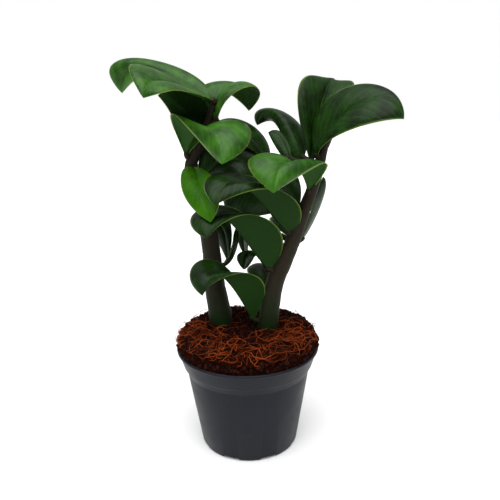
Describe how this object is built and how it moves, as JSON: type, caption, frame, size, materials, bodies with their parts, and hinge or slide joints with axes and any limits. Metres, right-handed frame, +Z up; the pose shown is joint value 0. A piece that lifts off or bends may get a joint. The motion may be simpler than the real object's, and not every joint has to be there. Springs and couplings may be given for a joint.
{
  "type": "dwarf zz plant in a nursery pot",
  "caption": "Compact potted zz plant with thick upright stems and short broad curling leaflets, in a tapered dark grey nursery pot heaped with coir.",
  "frame": {"origin": "middle of the pot's underside, on the surface that it stands on", "axes": "+Z up along the pot's axis; -Y towards the viewer of the picture; +X to the viewer's right"},
  "size_m": [0.2297, 0.1377, 0.3228],
  "materials": {
    "pot": "injection-moulded recycled polypropylene, satin slate grey",
    "coir": "loose moist coir and peat with bare fibres, matte",
    "leaf": "living waxy leaf, dark green with a soft gloss",
    "stem": "living fleshy stem, brown over green, satin"
  },
  "bodies": {
    "root": {"pot": "pot", "soil": "coir", "frond_left": "leaf", "frond_right": "leaf"}
  },
  "joints": []
}
